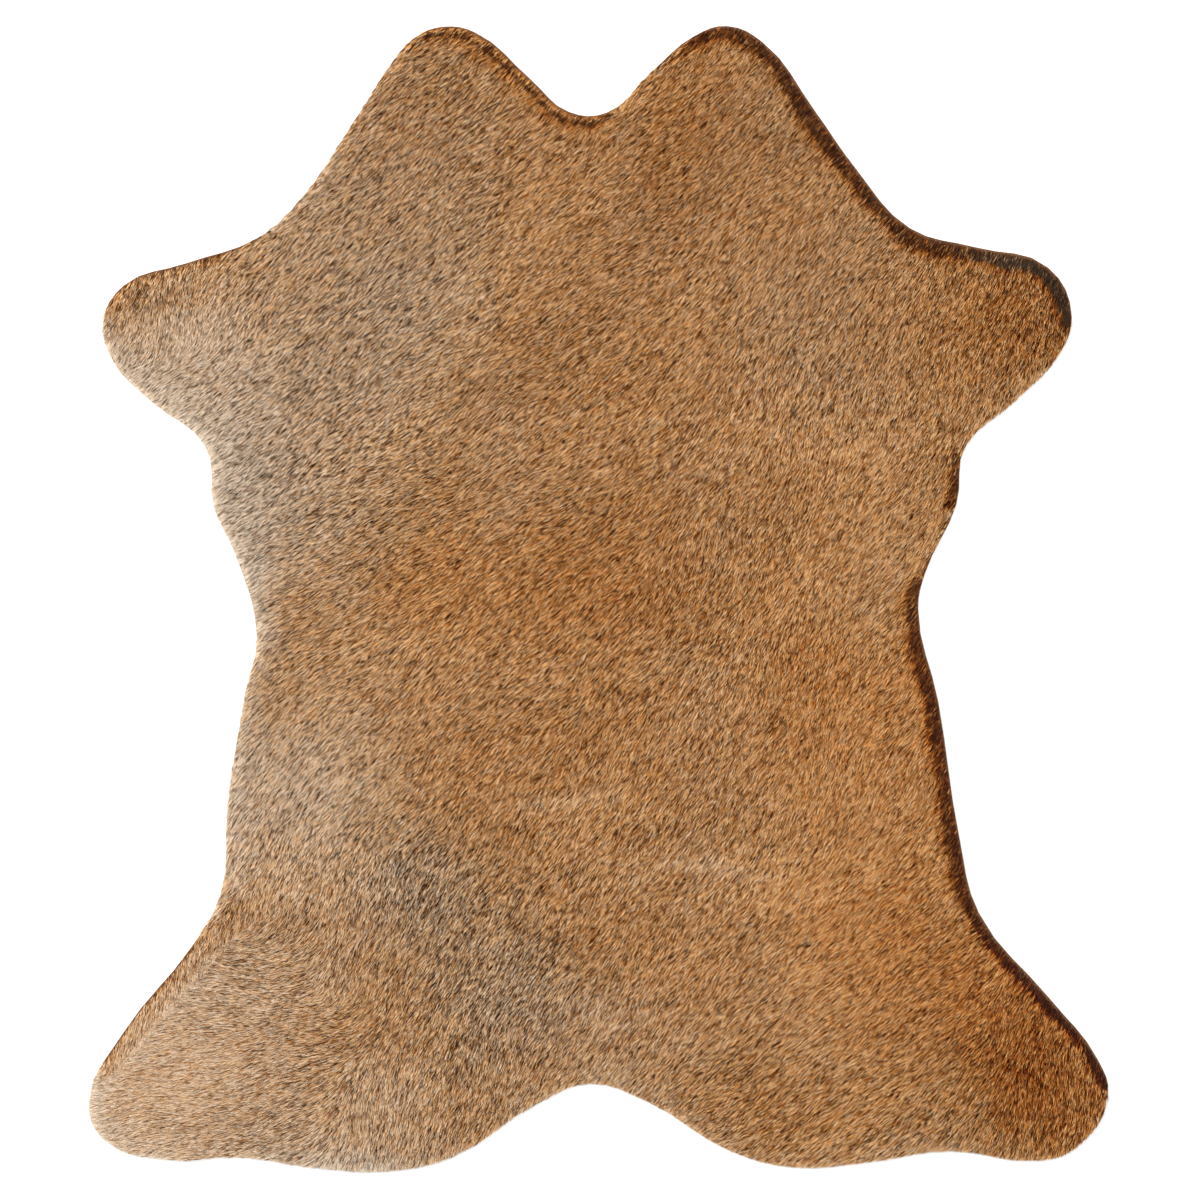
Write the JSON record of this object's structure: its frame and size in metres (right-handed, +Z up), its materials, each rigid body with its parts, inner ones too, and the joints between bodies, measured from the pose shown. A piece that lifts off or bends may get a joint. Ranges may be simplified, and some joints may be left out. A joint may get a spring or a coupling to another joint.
{
  "type": "cowhide rug",
  "caption": "Whole cow hide with its short brown hair left on, trimmed to two neck lobes, four legs and a tail notch, lying flat as a rug.",
  "frame": {"origin": "centre of the hide's bounding box, on the floor under it", "axes": "+X to the hide's right side as seen from above, +Y towards the neck, +Z up out of the floor, hair side up"},
  "size_m": [1.5783, 1.775, 0.0092],
  "materials": {
    "hide": "tanned skin with short brown hair on its upper side and suede on its underside"
  },
  "bodies": {
    "root": {"cowhide": "hide"}
  },
  "joints": []
}
